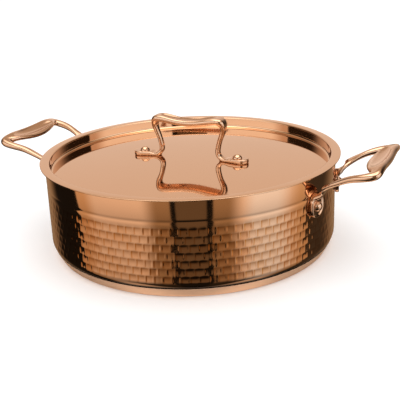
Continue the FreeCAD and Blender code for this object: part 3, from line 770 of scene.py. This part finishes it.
def fade_down(paint):
    """Dim the paint from the horizon down, so that a wall's marks show which way they lean."""
    fade = room.nodes.new("ShaderNodeMapRange")
    fade.interpolation_type = "SMOOTHSTEP"
    fade.inputs["From Min"].default_value = math.radians(FADE_LOW)
    fade.inputs["From Max"].default_value = math.radians(FADE_HIGH)
    fade.inputs["To Min"].default_value = FADE_LEAST
    fade.inputs["To Max"].default_value = FADE_MOST
    room.links.new(room_height, fade.inputs["Value"])
    faded = room.nodes.new("ShaderNodeMix")
    faded.data_type = "RGBA"
    faded.blend_type = "MULTIPLY"
    faded.inputs["Factor"].default_value = 1.0
    room.links.new(paint, faded.inputs["A"])
    room.links.new(fade.outputs["Result"], faded.inputs["B"])
    return faded.outputs["Result"]


# %% The panels, each with its turns, heights and colour
FADE_LOW, FADE_HIGH = -44, -4
FADE_LEAST, FADE_MOST = 0.42, 1.28
EVERY_TURN = (-400, 400, 1, 1)
WARM = (0.34, 0.22, 0.12)
SKY = (0.885, 0.715, 0.60)
BLACK = (0.012, 0.010, 0.008)
FLAG = (0.03, 0.02, 0.013)
WALL_PANELS = [
    (EVERY_TURN, (2, 100, 6, 1), SKY),
    ((-112, -62, 1, 12), (-90, 10, 1, 6), (0.64, 0.41, 0.23)),  # far left wall
    ((62, 112, 12, 1), (-90, 10, 1, 6), (0.67, 0.45, 0.26)),  # far right wall
    ((-83, -33, 7, 7), (-90, 14, 1, 6), (0.82, 0.66, 0.54)),  # left window
    ((33, 83, 7, 9), (-90, 20, 1, 8), (0.86, 0.70, 0.58)),  # right window
    ((42, 74, 7, 9), (-90, 20, 1, 8), (0.97, 1.00, 1.06)),  # its bright middle
]
FRONT_PANELS = [
    (EVERY_TURN, (8, 100, 6, 1), SKY),
    ((-85, 85, 8, 8), (10, 32, 4, 4), (1.45, 1.5, 1.55)),  # bright band over the camera
    (EVERY_TURN, (30, 100, 6, 1), (0.56, 0.41, 0.29)),  # dim ceiling
    (EVERY_TURN, (54, 76, 4, 4), (1.8, 1.6, 1.4)),  # strip overhead
    (EVERY_TURN, (-100, -58, 1, 8), (1.15, 0.90, 0.70)),  # floor at the sides
    ((-57, 54, 14, 14), (-100, -39, 1, 7), (0.03, 0.022, 0.014)),  # dark front
    ((-16.4, 15.2, 0.8, 0.8), (-100, 32, 1, 3), BLACK),  # edges of the camera's card
    ((-12.4, 10.4, 0.8, 0.8), (-27, 32, 6, 3), (0.16, 0.107, 0.06)),  # the card
    ((-136, -97, 10, 1), (-60, 34, 8, 4), BLACK),  # left flag
    ((97.5, 134, 1, 14), (-60, 34, 8, 4), (0.06, 0.045, 0.03)),  # right flag
    ((-142, -97, 24, 1), (-2, 34, 3, 4), FLAG),  # top of the left flag
    ((97.5, 142, 1, 24), (-2, 34, 3, 4), FLAG),  # top of the right flag
]
room_turn, room_height = room_angles()
paint = WARM
for one_panel in WALL_PANELS:
    paint = panel(paint, *one_panel)
paint = fade_down(paint)
for one_panel in FRONT_PANELS:
    paint = panel(paint, *one_panel)

# %% Reflections see the room, and the rest sees white
rays = room.nodes.new("ShaderNodeLightPath")
shown = room.nodes.new("ShaderNodeMix")
shown.data_type = "RGBA"
shown.inputs["A"].default_value = (1, 1, 1, 1)
room.links.new(rays.outputs["Is Glossy Ray"], shown.inputs["Factor"])
room.links.new(paint, shown.inputs["B"])
room.links.new(shown.outputs["Result"], room.nodes["Background"].inputs["Color"])
room.nodes["Background"].inputs["Strength"].default_value = 1.0


# %% [markdown]
# The pot stands on a white floor that fades into the background. A shadow catcher would hide the
# floor altogether, but a faintly glowing floor keeps the soft shadow under the base. One large
# lamp overhead gives that shadow its soft edge.

# %% Helpers for the stage
def plain(name, colour, glow):
    """A matt stage finish that can also glow."""
    material = bpy.data.materials.new(name)
    material.use_nodes = True
    surface = material.node_tree.nodes["Principled BSDF"]
    surface.inputs["Base Color"].default_value = (*colour, 1)
    surface.inputs["Roughness"].default_value = 0.9
    surface.inputs["Specular IOR Level"].default_value = 0.0
    surface.inputs["Emission Color"].default_value = (*colour, 1)
    surface.inputs["Emission Strength"].default_value = glow
    return material


def bearing(degrees):
    """The level direction at an angle from the camera's, positive to the camera's right."""
    turn = CAMERA_AZIMUTH + math.radians(degrees)
    return Vector((math.sin(turn), -math.cos(turn), 0))


# %% The floor and the lamps
FLOOR_SIZE = 6.0
FLOOR_GREY = (0.93, 0.93, 0.93)
FLOOR_GLOW = 0.12
floor_shape = bmesh.new()
bmesh.ops.create_grid(floor_shape, x_segments=1, y_segments=1, size=FLOOR_SIZE / 2)
floor_mesh = bpy.data.meshes.new("floor")
floor_shape.to_mesh(floor_mesh)
floor_shape.free()
floor = bpy.data.objects.new("floor", floor_mesh)
scene.collection.objects.link(floor)
floor_mesh.materials.append(plain("floor_finish", FLOOR_GREY, FLOOR_GLOW))
floor.visible_glossy = False


def softbox(name, degrees, elevation, distance, size, power):
    """A square soft lamp that looks at the middle of the pot."""
    lamp = bpy.data.lights.new(name, "AREA")
    lamp.size = size
    lamp.energy = power
    holder = bpy.data.objects.new(name, lamp)
    scene.collection.objects.link(holder)
    lift = math.radians(elevation)
    away = bearing(degrees) * math.cos(lift) + Vector((0, 0, math.sin(lift)))
    holder.location = AIM + away * distance
    holder.rotation_euler = away.to_track_quat("Z", "Y").to_euler()


softbox("top_softbox", degrees=0, elevation=80, distance=1.8, size=1.6, power=10)
